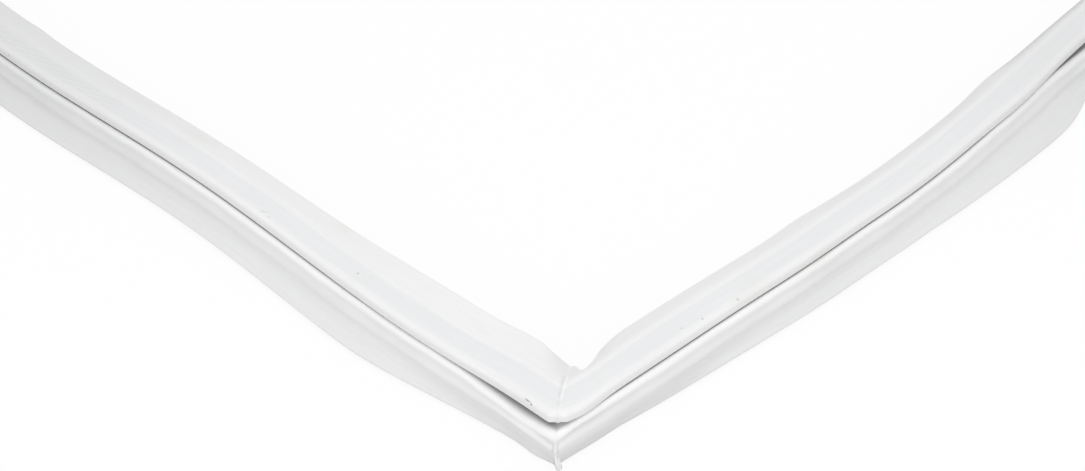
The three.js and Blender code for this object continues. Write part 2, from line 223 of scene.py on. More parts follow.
def sideForm(t):
    # the right leg: a long bow inwards, a lip on a slow wave with a notch by the weld, and a foot that grows
    plain = rise(t, lay["plainStart"], lay["plainEnd"])
    inward = rise(t, lay["sideBowStart"], lay["sideBowPeak"])
    back = rise(t, lay["sideBowPeak"], seal["sideLength"])
    turn = 2 * np.pi * (t - lay["sideLipWavePeak"]) / lay["sideLipWaveLength"]
    first = 1 - np.exp(-np.maximum(0, t - lay["sideFootStart"]) / lay["sideFootRise"])
    growth = lay["sideFootGrowth"] * np.maximum(0, t - lay["sideFootGrowthStart"])
    reach = lay["weldFootReach"] + lay["sideFootFirst"] * first + growth
    reach = np.minimum(lay["sideFootMost"], reach)
    cut = rise(t, 0, lay["sideLipCutStart"]) * (1 - rise(t, lay["sideLipCutStart"], lay["sideLipCutEnd"]))
    far = rise(t, fold["farStart"], fold["farPeak"]) * (1 - rise(t, fold["farPeak"], fold["farEnd"]))
    atSeam = 1 - rise(t, 0, fold["sideDropEnd"])
    lipAngle = lay["sideLipAngle"] + lay["sideLipWave"] * np.cos(turn)
    return addUneven({
        "bow": lay["sideBulge"] * rise(t, 0, lay["sideBulgeEnd"]) * (1 - inward)
        - lay["sideBowDepth"] * inward * (1 - back),
        "lipAngle": mix(lipAngle, lay["plainLipAngle"], plain),
        "lipBlend": lay["cornerBlend"],
        "lipCut": lay["sideLipCut"] * cut,
        "reach": mix(reach, seal["footReach"], plain),
        "lean": lay["sideLean"] * rise(t, lay["sideBowStart"], lay["plainStart"]) * (1 - plain),
        "edgeOut": 0 * t,
        "drop": fold["seamDrop"] * atSeam + fold["farDrop"] * far,
        "edgeCutLength": lay["edgeCutSide"],
    }, "right", t)


def plainForm(t):
    # a side that isn't in the picture keeps one section from weld to weld
    return {
        "bow": 0 * t, "lean": 0 * t, "drop": 0 * t, "edgeOut": 0 * t, "lipCut": 0 * t,
        "lipAngle": 0 * t + lay["plainLipAngle"], "lipBlend": lay["cornerBlend"],
        "reach": 0 * t + seal["footReach"],
        "edgeCutLength": lay["weldCutLength"],
    }


def sectionRows():
    # the corners of the section as place, height, how far the rounding cuts back, and points in it:
    # from the lip's tip over the head and down the face, then from under the foot back to the lip
    s = seal
    tipIn = -s["headWidth"] - s["lipLength"]
    under = s["headUnder"]
    neckIn = -s["foldDepth"] - s["neckWidth"]
    tipUnder, rootUnder = s["lipTop"] - s["lipTip"], s["headTop"] - s["lipRoot"]
    lipTops = [(tipIn + f * s["lipLength"], s["lipTop"] + s["lipRise"] * f ** 2, 0, 1) for f in rows["lipTop"]]
    lipUnders = [(tipIn + f * s["lipLength"], mix(tipUnder, rootUnder, f), 0, 1) for f in rows["lipUnder"]]
    middle, half = s["crownMiddle"], s["crownHalf"]
    crown = [(place, s["headTop"] + s["headCrown"] * (1 - ((place - middle) / half) ** 2), 0, 1)
             for place in np.arange(middle - half, middle + half, s["crownStep"])]
    head = [
        *((place, s["headTop"], 0, 1) for place in rows["head"]),
        (-s["creasePlace"], s["headTop"] - s["creaseDepth"], 0.35, 3), *crown,
        (-s["beadPlace"], s["headTop"] + s["beadHeight"], 0.6, 4),
        (0, s["headTop"] - 0.05, 1.9, 11), (0, under, 0.35, 3),
        *((place, under, 0, 1) for place in rows["headUnder"]), (-s["foldDepth"], under, 0.3, 3),
    ]
    face = [
        (-s["foldDepth"], s["balloonTop"], 0.3, 3),
        *((place, s["balloonTop"], 0, 1) for place in rows["balloon"]),
        (s["shoulderOut"], s["balloonTop"], s["shoulder"], 12),
        (s["faceOut"], s["faceHeight"], 1.4, 6), (s["ribOut"], s["ribHeight"], 1.25, 7),
    ]
    halfDart = [
        (s["dartStem"], s["plateUnder"], 0.5, 3), (s["dartStem"], s["barbHigh"], 0.2, 2),
        (s["dartStem"] + s["dartBarb"], s["barbHigh"], 0.2, 3),
        (s["dartTip"], s["barbHigh"] - s["barbDrop"], 0.2, 2), (s["dartTip"], 0, 0.3, 3),
    ]
    dart = [(s["dartMiddle"] + out, *rest) for out, *rest in halfDart]
    dart += [(s["dartMiddle"] - out, *rest) for out, *rest in halfDart[::-1]]
    innerTip = s["waistIn"] - s["innerFootReach"]
    inner = [
        (s["waistIn"] + s["footThick"], s["plateUnder"], 0.4, 3),
        (innerTip, s["footTip"], 0.3, 3), (innerTip - s["footThick"], s["footTip"] + s["footThick"], 0.3, 3),
        (s["waistIn"], s["innerFootRoot"] + s["footThick"], 0.6, 4), (s["balloonIn"], s["ribHeight"], 1.2, 4),
        (s["balloonIn"], s["balloonTop"], s["shoulder"], 8), (neckIn, s["balloonTop"], 0.2, 2),
        (neckIn, under, 0.2, 2), (-s["headWidth"], under, 0.8, 5), (-s["headWidth"], rootUnder, 0.5, 4),
    ]
    tip = [(tipIn, tipUnder, 0.3, 4), (tipIn, s["lipTop"], 0.3, 4)]
    return tip + lipTops + head + face, dart + inner + lipUnders


def roundedRun(sectionPart, closing):
    # each corner becomes a quadratic curve from one cut point to the other;
    # closing holds the point before the first corner and the one after the last
    corners = np.array([corner[:2] for corner in sectionPart], float)
    before = np.vstack([closing[0], corners[:-1]])
    after = np.vstack([corners[1:], closing[1]])
    points = []
    for here, last, following, (_, _, cut, count) in zip(corners, before, after, sectionPart):
        back = (last - here) / np.linalg.norm(last - here)
        on = (following - here) / np.linalg.norm(following - here)
        s = np.linspace(0, 1, count)[:, None] if count > 1 else np.full((1, 1), 0.5)
        start, end = here + back * cut, here + on * cut
        points.append((1 - s) ** 2 * start + 2 * s * (1 - s) * here + s ** 2 * end)
    return np.vstack(points)


def outerFoot(reach):
    # the flap of the foot for every ring: its top is a cubic curve straight down from the face and out,
    # its nose half an ellipse, and its underside a quadratic curve back
    s = seal
    root, down = np.array(s["footFrom"]), np.array(s["footDown"])
    tip = np.stack([reach - s["footThick"] / 2, 0 * reach + s["footTip"]], -1)
    run = tip - root - down
    run /= np.linalg.norm(run, axis=1)[:, None]
    across = np.stack([-run[:, 1], run[:, 0]], -1) * s["footThick"]
    sag = mix(root + down, tip + across, s["footSagPlace"]) - across * s["footSag"]
    f = np.linspace(0, 1, rows["footTop"])[None, :, None]
    top = (1 - f) ** 3 * root + 3 * f * (1 - f) ** 2 * (root + down)
    top = top + 3 * f ** 2 * (1 - f) * sag[:, None] + f ** 3 * (tip + across)[:, None]
    turns = np.linspace(0, np.pi, rows["footNose"])[1:-1][None, :, None]
    middle = (tip + across / 2)[:, None]
    nose = middle + across[:, None] / 2 * np.cos(turns) + run[:, None] * s["footThick"] / 2 * np.sin(turns)
    up = np.linspace(1, 0, rows["footUnder"])[None, :-1, None]
    under = np.array([s["underOut"], s["plateUnder"]])
    bend = mix(under, tip, s["footSagPlace"])
    below = (1 - up) ** 2 * under + 2 * up * (1 - up) * bend[:, None] + up ** 2 * tip[:, None]
    return np.concatenate([top, nose, below], 1)


def baseOutline(reach):
    # the whole section for every ring: the even part, the foot, and the rest
    first, second = sectionRows()
    even = roundedRun(first, (rows["beforeTip"], seal["footFrom"]))
    rest = roundedRun(second, ((seal["underOut"], seal["plateUnder"]), rows["tip"]))
    even, rest = (np.broadcast_to(part, (len(reach),) + part.shape) for part in (even, rest))
    return np.concatenate([even, outerFoot(reach), rest], 1)


def bentSection(outline, form, t, length):
    # the section as the soft profile lies: the body sinks under the head, the lip turns on an arc at its root
    # and runs on straight, the weld cuts the outer edge, and bow and lean move all of it
    base, baseZ = outline[..., 0], outline[..., 1]
    u, z = base.copy(), baseZ.copy()
    end = np.minimum(t, length - t)
    column = lambda values: np.broadcast_to(values, t.shape)[:, None]
    drop = column(form["drop"])
    isBody = baseZ < seal["headUnder"] - seal["bodyBelow"]
    sink = rise(base, *fold["sinkPlaces"]) * rise(baseZ, *fold["sinkHeights"])
    z -= np.where(isBody, drop * sink, 0)
    weld = column(1 - rise(end, 0, lay["weldCutLength"]))
    roll = column(1 - rise(end, 0, form["lipBlend"]))
    angle = np.radians(mix(column(form["lipAngle"]), lay["weldLipAngle"], roll))
    half = seal["lipBendHalf"]
    s = -seal["headWidth"] - base
    isSheet = (s > -half) & (baseZ > seal["headTop"] - seal["lipRoot"] - seal["sheetBand"])
    shorter = 1 - (column(form["lipCut"]) + lay["weldLipCut"] * weld) / seal["lipLength"]
    along = np.where(s > 0, s * shorter, s)
    within = np.clip(along + half, 0, 2 * half)
    turned = angle * within / (2 * half)
    beyond = np.maximum(0, along - half)
    reachOut = within * np.sinc(turned / np.pi) + beyond * np.cos(angle)
    climb = within * np.sin(turned / 2) * np.sinc(turned / (2 * np.pi)) + beyond * np.sin(angle)
    curl = seal["lipCurl"] * np.clip(along / seal["lipLength"], 0, 1) ** 3
    over = baseZ - seal["headTop"] + curl
    u = np.where(isSheet, -seal["headWidth"] + half - reachOut + over * np.sin(turned), u)
    z = np.where(isSheet, seal["headTop"] + climb + over * np.cos(turned), z)
    edge = column(1 - rise(end, 0, form["edgeCutLength"]))
    outerShare = np.clip(1 + base / seal["headWidth"], 0, None)
    u -= np.where(~isBody, (lay["edgeCut"] * edge - column(form["edgeOut"])) * outerShare, 0)
    u += column(form["bow"]) + column(form["lean"]) * np.maximum(0, 1 - z / seal["headUnder"])
    return u, z


def headMarks(base, across):
    # height of what the weld leaves on the head and lip, all bell curves: a ridge with beads,
    # a groove beside it and two short creases
    ridge = seam["ridgeHigh"] * np.exp(-(across / seam["ridgeHalf"]) ** 2)
    for place, half, side, high in seam["beads"]:
        offset = ((base - place) / half) ** 2 + ((across - side) / seam["beadHalf"]) ** 2
        ridge = ridge + high * np.exp(-offset)
    first, last, fade = seam["grooveFrom"], seam["grooveTo"], seam["grooveEnd"]
    span = rise(base, first, first + fade) * (1 - rise(base, last - fade, last))
    groove = np.exp(-((across - seam["grooveAcross"]) / seam["grooveHalf"]) ** 2)
    ridge = ridge - seam["grooveDeep"] * span * groove
    for place, half, deep in seam["creases"]:
        window = np.exp(-((across - seam["creaseAcross"]) / seam["creaseHalf"]) ** 4)
        ridge = ridge - deep * window * np.exp(-((base - place) / half) ** 2)
    return ridge


def faceMarks(baseZ, across):
    # how far the weld pushes the balloon's face out, all bell curves: a bead down the corner,
    # grooves beside it and a crease on each leg
    out = seam["cornerBead"] * np.exp(-(across / seam["cornerBeadHalf"]) ** 2)
    beside = np.exp(-((np.abs(across) - seam["cornerGrooveAcross"]) / seam["cornerBeadHalf"]) ** 2)
    span = rise(baseZ, *seam["cornerGrooveRise"]) * (1 - rise(baseZ, *seam["cornerGrooveFall"]))
    out = out - seam["cornerGroove"] * beside * span
    right = bump(across, seam["rightCreasePeak"], seam["rightCreaseBefore"], seam["rightCreaseAfter"])
    left = bump(-across, seam["leftCreasePeak"], seam["leftCreaseBefore"], seam["leftCreaseAfter"])
    out = out - seam["rightCrease"] * right * (across > 0) * np.exp(-(baseZ - seam["rightCreaseHeight"]) ** 2)
    return out - seam["leftCrease"] * left * (across < 0) * np.exp(-(baseZ - seam["leftCreaseHeight"]) ** 2)


def sineSum(place, waves):
    # sum of height times the sine of two pi place over length, plus the phase
    return sum(high * np.sin(2 * np.pi * place / length + phase) for high, length, phase in waves)


def rippleWave(base, across):
    # how strongly the ripples in the head's top show, and their slanting sine that drifts along the leg
    onHead = rise(-base, *ripples["fadeIn"]) * (1 - rise(-base, *ripples["fadeOut"]))
    shown = rise(-across, ripples["start"], ripples["end"]) * onHead
    slanted = base + ripples["slant"] * across
    return shown, np.sin(2 * np.pi * slanted / ripples["wave"] + np.sin(across / ripples["drift"]))


def addMarks(u, z, outline, end, across):
    # welds, flash and unevenness of the surface; gives back how far points slide along the leg too
    base, baseZ = outline[..., 0], outline[..., 1]
    end, across = end[:, None], across[:, None]
    isTop = baseZ > seal["headTop"] - seal["topBand"]
    isOuter = (baseZ < seal["headUnder"] - seal["bodyBelow"]) & (base > seal["outerFrom"])
    isFace = isOuter & (base > seal["faceFrom"]) & (baseZ > seal["faceAbove"])
    shown, wave = rippleWave(base, across)
    z = z + np.where(isTop, headMarks(base, across) + ripples["high"] * shown * wave, 0)
    high = rise(baseZ, *waver["heights"])
    slow = mix(sineSum(across, waver["face"]), sineSum(across, waver["shoulder"]), high)
    u = u + np.where(isFace, faceMarks(baseZ, across) + slow * rise(end, *waver["fromWeld"]), 0)
    low = np.clip((flash["top"] - baseZ) / (flash["top"] - flash["full"]), 0, 1) * isOuter
    isHere = np.abs(across) < flash["cornerSpan"]
    half, right, edge = flash["half"], flash["photographedRight"], flash["edge"]
    thin = 1 - rise(end, half - edge, half + edge)
    wide = rise(across, -half - edge, -half + edge) * (1 - rise(across, right - edge, right + edge))
    u = u + low * np.where(isHere, wide * flash["photographedOut"], thin * flash["out"])
    slide = low * np.where(isHere, wide * (flash["hook"] + flash["spread"] * across), 0)
    return u, z, slide


def toFrame(u, side, t, length, slide):
    # towards a corner each ring turns into the mitre: points slide along by their own distance outwards
    start = (1 - rise(t, 0, lay["mitreBlend"]))[:, None]
    end = (1 - rise(length - t, 0, lay["mitreBlend"]))[:, None]
    along = t[:, None] - u * start + u * end + slide
    away = {"front": length - t, "right": t}.get(side["name"])
    skewShare = 0 if away is None else (1 - rise(away, 0, lay["seamSkewLength"]))[:, None]
    skew = -u * lay["seamSkew"] * skewShare / math.sqrt(2)
    run, origin = side["run"], side["origin"]
    x = origin[0] + run[0] * along + run[1] * u + skew
    y = origin[1] + run[1] * along - run[0] * u + skew
    return x, y


frontLength, sideLength, seen = seal["frontLength"], seal["sideLength"], rings["seenSpan"]
halfFront, halfSide = frontLength / 2, sideLength / 2
sides = [
    {"name": "front", "length": frontLength, "form": frontForm,
     "run": (1, 0), "origin": (-halfFront, -halfSide),
     "places": sidePlaces(frontLength, frontLength - seen, "hidden", "seen")},
    {"name": "right", "length": sideLength, "form": sideForm,
     "run": (0, 1), "origin": (halfFront, -halfSide),
     "places": sidePlaces(sideLength, seen, "seen", "hidden")},
    {"name": "rear", "length": frontLength, "form": plainForm,
     "run": (-1, 0), "origin": (halfFront, halfSide),
     "places": sidePlaces(frontLength, halfFront, "hidden", "hidden")},
    {"name": "left", "length": sideLength, "form": plainForm,
     "run": (0, -1), "origin": (-halfFront, halfSide),
     "places": sidePlaces(sideLength, halfSide, "hidden", "hidden")},
]
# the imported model's origin is the middle of its box, so two magnetic strips tell where the frame lies
shift = (
    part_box("magnet_strip_left")[0][0] / mm + halfFront - seal["stripOuter"],
    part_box("magnet_strip_rear")[1][1] / mm - halfSide + seal["stripOuter"],
)


def sealRings():
    # positions, distance from the photographed weld, and section places, for every ring of the four sides
    xs, ys, zs, bases, aways = [], [], [], [], []
    for side in sides:
        t, length = side["places"], side["length"]
        form = side["form"](t)
        weld = 1 - rise(np.minimum(t, length - t), 0, lay["weldCutLength"])
        outline = baseOutline(mix(form["reach"], lay["weldFootReach"], weld))
        u, z = bentSection(outline, form, t, length)
        away = {"front": -(length - t), "right": t}.get(side["name"], np.full_like(t, 2 * length))
        u, z, slide = addMarks(u, z, outline, np.minimum(t, length - t), away)
        x, y = toFrame(u, side, t, length, slide)
        xs.append(x + shift[0])
        ys.append(y + shift[1])
        zs.append(z)
        bases.append(outline)
        aways.append(np.broadcast_to(away[:, None], z.shape))
    return tuple(np.concatenate(part) for part in (xs, ys, zs, bases, aways))


def gridMesh(name, points, attributes):
    # quads between neighbouring rings and neighbouring section points, closed both ways
    ringCount, pointCount = points.shape[:2]
    i, j = np.meshgrid(np.arange(ringCount), np.arange(pointCount), indexing="ij")
    nextRing, nextPoint = (i + 1) % ringCount, (j + 1) % pointCount
    here, beyond = i * pointCount, nextRing * pointCount
    quads = np.stack([here + j, here + nextPoint, beyond + nextPoint, beyond + j], -1).reshape(-1, 4)
    mesh = bpy.data.meshes.new(name)
    mesh.vertices.add(ringCount * pointCount)
    mesh.vertices.foreach_set("co", (points.reshape(-1) * mm).astype(np.float32))
    mesh.loops.add(quads.size)
    mesh.loops.foreach_set("vertex_index", quads.reshape(-1).astype(np.int32))
    mesh.polygons.add(len(quads))
    mesh.polygons.foreach_set("loop_start", np.arange(0, quads.size, 4, dtype=np.int32))
    mesh.polygons.foreach_set("use_smooth", np.ones(len(quads), bool))
    mesh.update(calc_edges=True)
    for label, values in attributes.items():
        layer = mesh.attributes.new(label, "FLOAT", "POINT")
        layer.data.foreach_set("value", values.reshape(-1).astype(np.float32))
    mesh.validate()
    thing = bpy.data.objects.new(name, mesh)
    scene.collection.objects.link(thing)
    return thing


# where the skin changes colour: spans over which a zone fades in or out, in section millimetres
zones = {
    "magnetIn": (2.2, 4.2), "magnetOut": (10.6, 12.4), "magnetAbove": 20.5,
    # footBelow and footFade place painted shade low on the outer face
    # the ripples' troughs get this share of painted shade
    # the shoulder's rise and the bead height set where the painted highlight goes
    "footBelow": 9, "footFade": 4, "shoulderRise": (14.6, 16.6), "beadHighlight": 0.35, "rippleShadeShare": 0.7,
    "flashLeft": (-0.7, -0.4), "flashRight": (0.65, 0.95),
    # painted shade in the fold under the head: where it starts, how deep it reaches as the fold opens, and its
    # margins
    "foldFrom": -0.25, "foldDeep": (0.9, 2.4), "foldBefore": 20, "foldAfter": 40, "foldMargin": 0.2,
    # the painted fold shade is lighter by this share beside the weld
    "paleShare": 0.6, "palePlace": 4, "paleBefore": 6, "paleAfter": 14,
}


def skinZones(sectionU, sectionZ, away):
    # masks from 0 to 1 of where the shader changes colour, each a product of smooth steps and limits
    onTop = sectionZ > seal["headTop"] - seal["topBand"]
    onFace = (sectionU > seal["faceFrom"]) & (sectionZ > seal["faceAbove"]) & (sectionZ < seal["headUnder"])
    magnet = rise(-sectionU, *zones["magnetIn"]) * (1 - rise(-sectionU, *zones["magnetOut"]))
    pressed = np.where(onTop, headMarks(sectionU, away), np.where(onFace, faceMarks(sectionZ, away), 0))
    shown, wave = rippleWave(sectionU, away)
    # painted shade in the troughs of the ripples
    rippleShade = onTop * shown * zones["rippleShadeShare"] * np.maximum(0, -wave)
    corner = rise(away, *zones["flashLeft"]) * (1 - rise(away, *zones["flashRight"]))
    flashZone = corner * (sectionZ < flash["top"]) * (sectionU > 0)
    # painted highlight on the tops of the weld's beads and on the flash's face
    pale = np.maximum(np.clip(pressed / zones["beadHighlight"], 0, 1), flashZone)
    isBody = sectionZ < seal["headUnder"] - seal["bodyBelow"]
    # painted highlight on the balloon's shoulder
    shoulder = rise(sectionZ, *zones["shoulderRise"]) * (sectionU > seal["outerFrom"]) * isBody
    # painted shade in the fold: reaches deeper where the fold opens, lighter beside the weld
    opening = bump(-away, fold["frontPeak"], zones["foldBefore"], zones["foldAfter"])
    depth, margin = mix(*zones["foldDeep"], opening), zones["foldMargin"]
    inFold = (sectionZ > seal["balloonTop"] - margin) * (sectionZ < seal["headUnder"] + margin)
    atWeld = 1 - zones["paleShare"] * bump(away, zones["palePlace"], zones["paleBefore"], zones["paleAfter"])
    return {
        "magnetZone": magnet * (sectionZ > zones["magnetAbove"]),
        "foldShadeZone": rise(-sectionU, zones["foldFrom"], depth) * inFold * atWeld,
        # painted shade, with some dirt, in the weld's groove and creases, plus the ripples' painted shade
        "creaseShadeAndDirtZone": np.clip(-pressed / seam["grooveDeep"] + rippleShade, 0, 1),
        # painted shade low on the outer face, over the trough and the foot
        "footShadeZone": rise(zones["footBelow"] - sectionZ, 0, zones["footFade"]) * (sectionU > 0),
        "paintedHighlightZone": np.maximum(shoulder, pale),
    }


x, y, z, outlines, away = sealRings()
steps = np.diff(outlines, axis=1, prepend=outlines[:, :1])
sectionRun = np.cumsum(np.hypot(steps[..., 0], steps[..., 1]), 1)
sealPiece = gridMesh("soft_seal_profile", np.stack([x, y, z], -1), {
    "fromWeld": away * mm, "sectionRun": sectionRun * mm,
    **skinZones(outlines[..., 0], outlines[..., 1], away),
})
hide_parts("seal_profile")
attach(sealPiece, "root")
print("soft profile:", x.shape, "rings and points,", 2 * x.size, "triangles")


def newMaterial(name):
    # an empty material with its tree and its Principled shader
    material = bpy.data.materials.new(name)
    material.use_nodes = True
    tree = material.node_tree
    return material, tree, tree.nodes["Principled BSDF"]


def put(tree, kind, inputs, **settings):
    # adds one shader node; each input is a value, or a socket to link from
    node = tree.nodes.new("ShaderNode" + kind)
    for key, value in settings.items():
        setattr(node, key, value)
    for key, value in inputs.items():
        if isinstance(value, bpy.types.NodeSocket):
            tree.links.new(value, node.inputs[key])
        else:
            node.inputs[key].default_value = value
    return node


def attribute(tree, name):
    # a value that the mesh carries at its points
    return put(tree, "Attribute", {}, attribute_name=name).outputs["Fac"]


def blend(tree, first, second, share):
    # colours mixed in a straight line, first at share 0 and second at 1
    return put(tree, "Mix", {"A": first, "B": second, "Factor": share}, data_type="RGBA").outputs["Result"]


def ramp(tree, value, low, high, atLow=0, atHigh=1):
    # smooth step of a value between two limits
    inputs = {"Value": value, "From Min": low, "From Max": high, "To Min": atLow, "To Max": atHigh}
    return put(tree, "MapRange", inputs, interpolation_type="SMOOTHSTEP").outputs["Result"]


def compute(tree, operation, first, second):
    return put(tree, "Math", {0: first, 1: second}, operation=operation).outputs["Value"]


def times(tree, first, second):
    return compute(tree, "MULTIPLY", first, second)


def plus(tree, first, second):
    return compute(tree, "ADD", first, second)


def around(tree, noise, share):
    # a noise moved to vary about zero, times its share
    return times(tree, compute(tree, "SUBTRACT", noise, 0.5), share)


def noiseAt(tree, place, scale, detail):
    return put(tree, "TexNoise", {"Vector": place, "Scale": scale, "Detail": detail}).outputs["Fac"]


def newGroup(name, inputs, outputs):
    # an empty node group with its sockets; every output is one number
    group = bpy.data.node_groups.new(name, "ShaderNodeTree")
    for label, kind in inputs.items():
        group.interface.new_socket(label, in_out="INPUT", socket_type="NodeSocket" + kind)
    for label in outputs:
        group.interface.new_socket(label, in_out="OUTPUT", socket_type="NodeSocketFloat")
    return group, group.nodes.new("NodeGroupInput").outputs, group.nodes.new("NodeGroupOutput").inputs


# handled surface: slow cloudiness, fine grain, dust in patches and sparse specks; scales are waves a metre
handled = {
    "cloudScale": 16, "cloudDetail": 3, "cloudShare": 0.05,
    "grainScale": 650, "grainDetail": 4, "grainShare": 0.03,
    "dustScale": 45, "dustDetail": 6, "dustFrom": 0.56, "dustTo": 0.72,
    "speckScale": 120, "speckSize": 0.1, "speckChance": 0.93,
}


def handledSurface():
    # tone is clouds plus grain; a speck is the middle of a Voronoi cell whose random colour passes the chance
    outputs = ("Tone", "Dust", "Specks", "Grain")
    group, given, result = newGroup("handled_surface", {"Place": "Vector"}, outputs)
    place = given["Place"]
    cloud = noiseAt(group, place, handled["cloudScale"], handled["cloudDetail"])
    grain = noiseAt(group, place, handled["grainScale"], handled["grainDetail"])
    dust = noiseAt(group, place, handled["dustScale"], handled["dustDetail"])
    cell = put(group, "TexVoronoi", {"Vector": place, "Scale": handled["speckScale"]})
    draw = put(group, "SeparateColor", {"Color": cell.outputs["Color"]}).outputs["Red"]
    chosen = compute(group, "GREATER_THAN", draw, handled["speckChance"])
    near = ramp(group, cell.outputs["Distance"], handled["speckSize"] / 2, handled["speckSize"], 1, 0)
    tone = plus(group, around(group, cloud, handled["cloudShare"]), around(group, grain, handled["grainShare"]))
    group.links.new(tone, result["Tone"])
    group.links.new(ramp(group, dust, handled["dustFrom"], handled["dustTo"]), result["Dust"])
    group.links.new(times(group, chosen, near), result["Specks"])
    group.links.new(grain, result["Grain"])
    return group


surface = handledSurface()


def addBump(tree, shader, height, look):
    # fine relief that only tilts the shading
    bumped = put(tree, "Bump", {"Height": height, "Strength": look["bump"], "Distance": look["bumpHeight"]})
    tree.links.new(bumped.outputs["Normal"], shader.inputs["Normal"])


def useSurface(tree):
    # the handled surface in a material, placed by object coordinates
    place = put(tree, "TexCoord", {}).outputs["Object"]
    node = put(tree, "Group", {"Place": place}, node_tree=surface)
    return place, node.outputs


# white PVC: greyer over the dark strip; painted shade on the foot, far along the legs, along the silhouette and
# in the fold;
# painted shade with some dirt in the creases; a painted highlight on the shoulder, beads and flash; streaked by
# the extruder
whitePvc = {
    # inFold is painted shade for the fold under the head
    "skin": (0.89, 0.892, 0.89, 1), "overMagnet": (0.842, 0.849, 0.858, 1), "inFold": (0.3, 0.3, 0.3, 1),
    # foot is painted shade on the trough and the foot, darker towards the bottom of the outer face
    # shoulder is a painted highlight on the balloon's shoulder, the bead tops and the flash
    "foot": (0.83, 0.832, 0.835, 1), "shoulder": (0.97, 0.972, 0.97, 1),
    # crease is painted shade, with some dirt, in the weld's groove and creases, and painted shade in the
    # ripples
    "crease": (0.6, 0.6, 0.59, 1), "creaseShare": 0.3,
    # outline is painted shade along the silhouette, where the surface turns away from the light
    "outline": (0.5, 0.505, 0.51, 1), "silhouetteShadeShare": 0.85, "silhouetteShadeFrom": 0.8,
    # farShade is painted shade where the light falls off far along both legs
    "farShade": (0.72, 0.722, 0.728, 1), "farShare": 0.55, "farShareRight": 0.3, "farFrom": 0.19, "farTo": 0.37,
    "dust": (0.8, 0.785, 0.75, 1), "dustShare": 0.22, "speck": (0.5, 0.42, 0.33, 1), "speckShare": 0.5,
    "roughness": 0.4, "dustyRoughness": 0.12,
    "streakRuns": 26, "streakAcross": 700, "streakDetail": 3, "streakShare": 0.08,
    "bump": 0.12, "bumpHeight": 0.0003, "bumpGrain": 0.4,
    "raggedScale": 2.5, "raggedDetail": 3, "raggedFrom": 1, "raggedTo": 1.7,
}

# marks of use on the photographed legs:
# millimetres from the corner and up, turn, half sizes, colour and strength
marks = {
    "scuff": ((-15.6, 0.4, 22.1), 0, (2.2, 0.3, 0.5), (0.25, 0.25, 0.26, 1), 0.9),
    "scuffEnd": ((-13.4, 0.1, 21.9), -0.5, (0.8, 0.25, 0.4), (0.2, 0.2, 0.2, 1), 0.9),
    "nick": ((-174.5, 4.2, 23), 0.4, (1.8, 0.3, 1.5), (0.5, 0.5, 0.5, 1), 0.6),
    "nickBeside": ((-170.5, 3.3, 23), 0.2, (1.1, 0.3, 1.5), (0.5, 0.5, 0.5, 1), 0.5),
    "shoulderSpot": ((-85.1, -4.3, 17.5), 0, (0.6, 0.5, 1.5), (0.45, 0.45, 0.45, 1), 0.7),
    "brownSpeck": ((-3.5, 71.1, 23), 0.3, (0.45, 0.5, 1), (0.6, 0.53, 0.42, 1), 0.7),
    "brownSpeckFar": ((-1.7, 81.1, 23), 0, (0.6, 0.45, 1), (0.55, 0.47, 0.38, 1), 0.8),
    "pit": ((0.6, -0.5, 4), 0.7, (0.5, 0.6, 0.7), (0.35, 0.35, 0.35, 1), 0.6),
}


def addMark(tree, place, colour, mark):
    # a spot inside a turned ellipsoid: it fades where distance from the middle plus a noise passes its edge
    (px, py, pz), turn, half, tint, share = mark
    centre = ((halfFront + shift[0] + px) * mm, (-halfSide + shift[1] + py) * mm, pz * mm)
    local = put(tree, "Mapping", {
        "Vector": place, "Location": centre, "Rotation": (0, 0, turn), "Scale": [v * mm for v in half],
    }, vector_type="TEXTURE").outputs["Vector"]
    ragged = noiseAt(tree, local, whitePvc["raggedScale"], whitePvc["raggedDetail"])
    far = put(tree, "VectorMath", {0: local}, operation="LENGTH").outputs["Value"]
    edge = plus(tree, far, ragged)
    return blend(tree, colour, tint, ramp(tree, edge, whitePvc["raggedFrom"], whitePvc["raggedTo"], share, 0))


